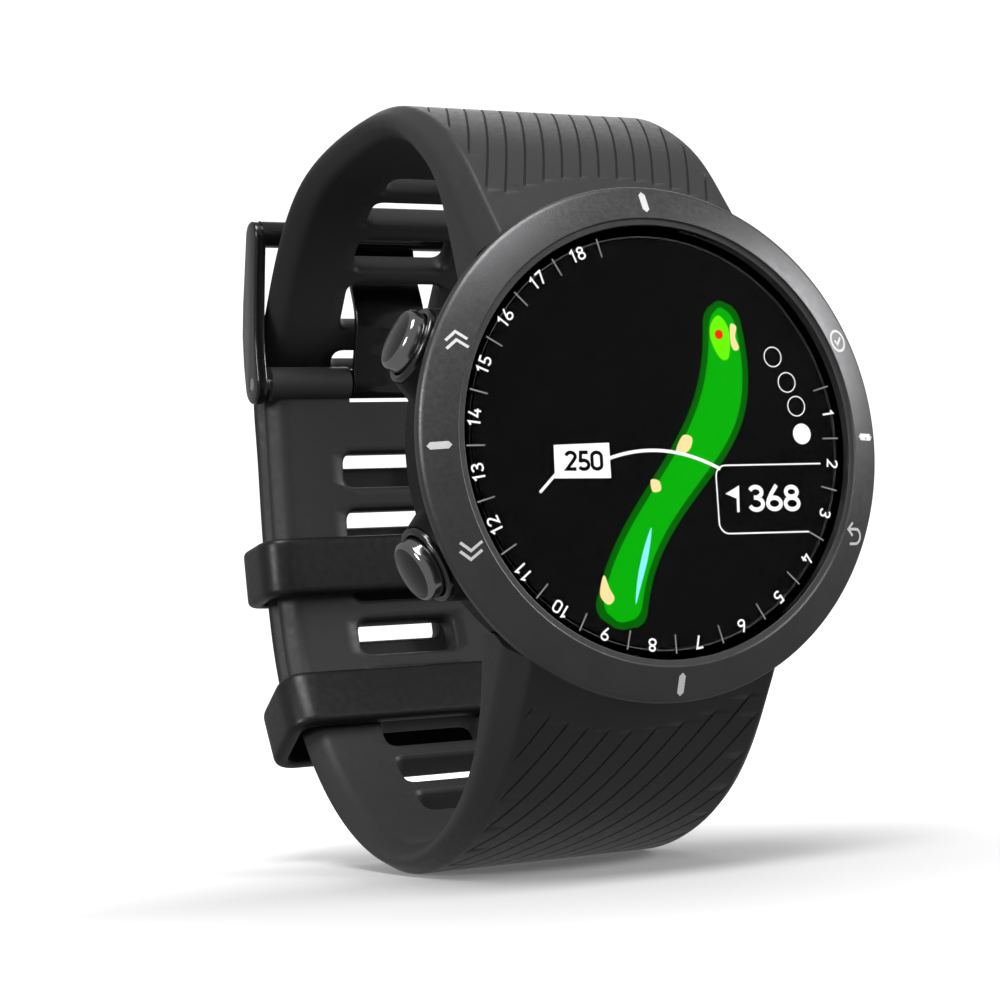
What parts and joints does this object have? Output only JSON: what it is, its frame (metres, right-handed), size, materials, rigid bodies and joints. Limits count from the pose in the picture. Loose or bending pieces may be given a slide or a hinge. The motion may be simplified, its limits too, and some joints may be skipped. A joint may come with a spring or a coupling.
{
  "type": "golf gps watch",
  "caption": "Round sports watch with a glass-covered course display, side push-buttons and a slotted rubber strap buckled into a loop with a pin buckle and keepers.",
  "frame": {"origin": "centre of the case back's outer face, on the watch axis", "axes": "+Y into the wrist, out of the case back; +Z towards 12 o'clock; +X towards 3 o'clock; -Y out through the display"},
  "size_m": [0.0454, 0.0705, 0.0739],
  "materials": {
    "bezel": "satin, dark grey coated",
    "bright_trim": "polished inlay",
    "lens_glass": "clear, polished",
    "gasket": "soft",
    "display": "lit colour panel under gloss",
    "inner_plastic": "moulded",
    "ribbon": "amber film",
    "case": "fine grained black",
    "case_back": "circular brushed",
    "screw": "machined",
    "gold_contact": "gold plated",
    "board": "solder mask",
    "switch": "stamped",
    "battery": "pouch foil",
    "foam": "closed cell",
    "antenna": "moulded",
    "collar": "turned, dark",
    "button": "polished",
    "strap": "matte silicone with fine bloom",
    "keeper": "satin silicone",
    "buckle": "gloss black coated steel",
    "spring_bar": "drawn steel"
  },
  "bodies": {
    "watch": {"bar_spring_lower": "spring_bar", "bar_spring_upper": "spring_bar", "battery": "battery", "battery_pad": "foam", "bezel_markers": "bright_trim", "bezel_ring": "bezel", "board_screws": "screw", "button_collars": "collar", "button_seals": "gasket", "case_back": "case_back", "case_back_screws": "screw", "case_back_seal": "gasket", "case_body": "case", "charging_contacts": "gold_contact", "display_lens": "lens_glass", "display_panel": "display", "display_ribbon": "ribbon", "display_tray": "inner_plastic", "gps_antenna": "antenna", "lens_gasket": "gasket", "lower_strap": "strap", "main_board": "board", "side_switches": "switch", "spring_bar_lower": "spring_bar", "spring_bar_upper": "spring_bar", "upper_strap": "strap", "vibration_motor": "screw"},
    "up_button": {"button_up": "button", "button_clip_up": "screw"},
    "down_button": {"button_down": "button", "button_clip_down": "screw"},
    "select_button": {"button_select": "button", "button_clip_select": "screw"},
    "back_button": {"button_back": "button", "button_clip_back": "screw"},
    "upper_bar_tip_left": {"bar_tip_upper_left": "spring_bar"},
    "upper_bar_tip_right": {"bar_tip_upper_right": "spring_bar"},
    "lower_bar_tip_left": {"bar_tip_lower_left": "spring_bar"},
    "lower_bar_tip_right": {"bar_tip_lower_right": "spring_bar"},
    "buckle": {"buckle_frame": "buckle", "buckle_pin": "buckle"},
    "tongue": {"buckle_tongue": "buckle"},
    "upper_keeper": {"keeper_upper": "keeper"},
    "lower_keeper": {"keeper_lower": "keeper"}
  },
  "joints": [
    {"name": "up_press", "type": "slide", "parent": "watch", "child": "up_button", "axis": [0.9063, 0, -0.4226], "range_m": [0, 0.00045], "stiffness_N_per_m": 4000, "springref_m": -0.00025},
    {"name": "down_press", "type": "slide", "parent": "watch", "child": "down_button", "axis": [0.9063, 0, 0.4226], "range_m": [0, 0.00045], "stiffness_N_per_m": 4000, "springref_m": -0.00025},
    {"name": "select_press", "type": "slide", "parent": "watch", "child": "select_button", "axis": [-0.9063, 0, -0.4226], "range_m": [0, 0.00045], "stiffness_N_per_m": 4000, "springref_m": -0.00025},
    {"name": "back_press", "type": "slide", "parent": "watch", "child": "back_button", "axis": [-0.9063, 0, 0.4226], "range_m": [0, 0.00045], "stiffness_N_per_m": 4000, "springref_m": -0.00025},
    {"name": "upper_bar_tip_left_slide", "type": "slide", "parent": "watch", "child": "upper_bar_tip_left", "axis": [1, 0, 0], "range_m": [0, 0.0013], "stiffness_N_per_m": 1200, "springref_m": -0.001, "deforming": ["bar_spring_upper"]},
    {"name": "upper_bar_tip_right_slide", "type": "slide", "parent": "watch", "child": "upper_bar_tip_right", "axis": [-1, 0, 0], "range_m": [0, 0.0013], "stiffness_N_per_m": 1200, "springref_m": -0.001},
    {"name": "lower_bar_tip_left_slide", "type": "slide", "parent": "watch", "child": "lower_bar_tip_left", "axis": [1, 0, 0], "range_m": [0, 0.0013], "stiffness_N_per_m": 1200, "springref_m": -0.001, "deforming": ["bar_spring_lower"]},
    {"name": "lower_bar_tip_right_slide", "type": "slide", "parent": "watch", "child": "lower_bar_tip_right", "axis": [-1, 0, 0], "range_m": [0, 0.0013], "stiffness_N_per_m": 1200, "springref_m": -0.001},
    {"name": "buckle_hinge", "type": "hinge", "parent": "watch", "child": "buckle", "pos_m": [0, 0.05, 0.0148], "axis": [1, 0, 0], "range_deg": [0, 4]},
    {"name": "tongue_hinge", "type": "hinge", "parent": "buckle", "child": "tongue", "pos_m": [0, 0.05, 0.0148], "axis": [-1, 0, 0], "range_deg": [0, 2]},
    {"name": "upper_keeper_slide", "type": "slide", "parent": "watch", "child": "upper_keeper", "axis": [0, 0.07, 0.9975], "range_m": [-0.002, 0.0025]},
    {"name": "lower_keeper_slide", "type": "slide", "parent": "watch", "child": "lower_keeper", "axis": [0, 0.5, 0.866], "range_m": [-0.001, 0.001]}
  ]
}
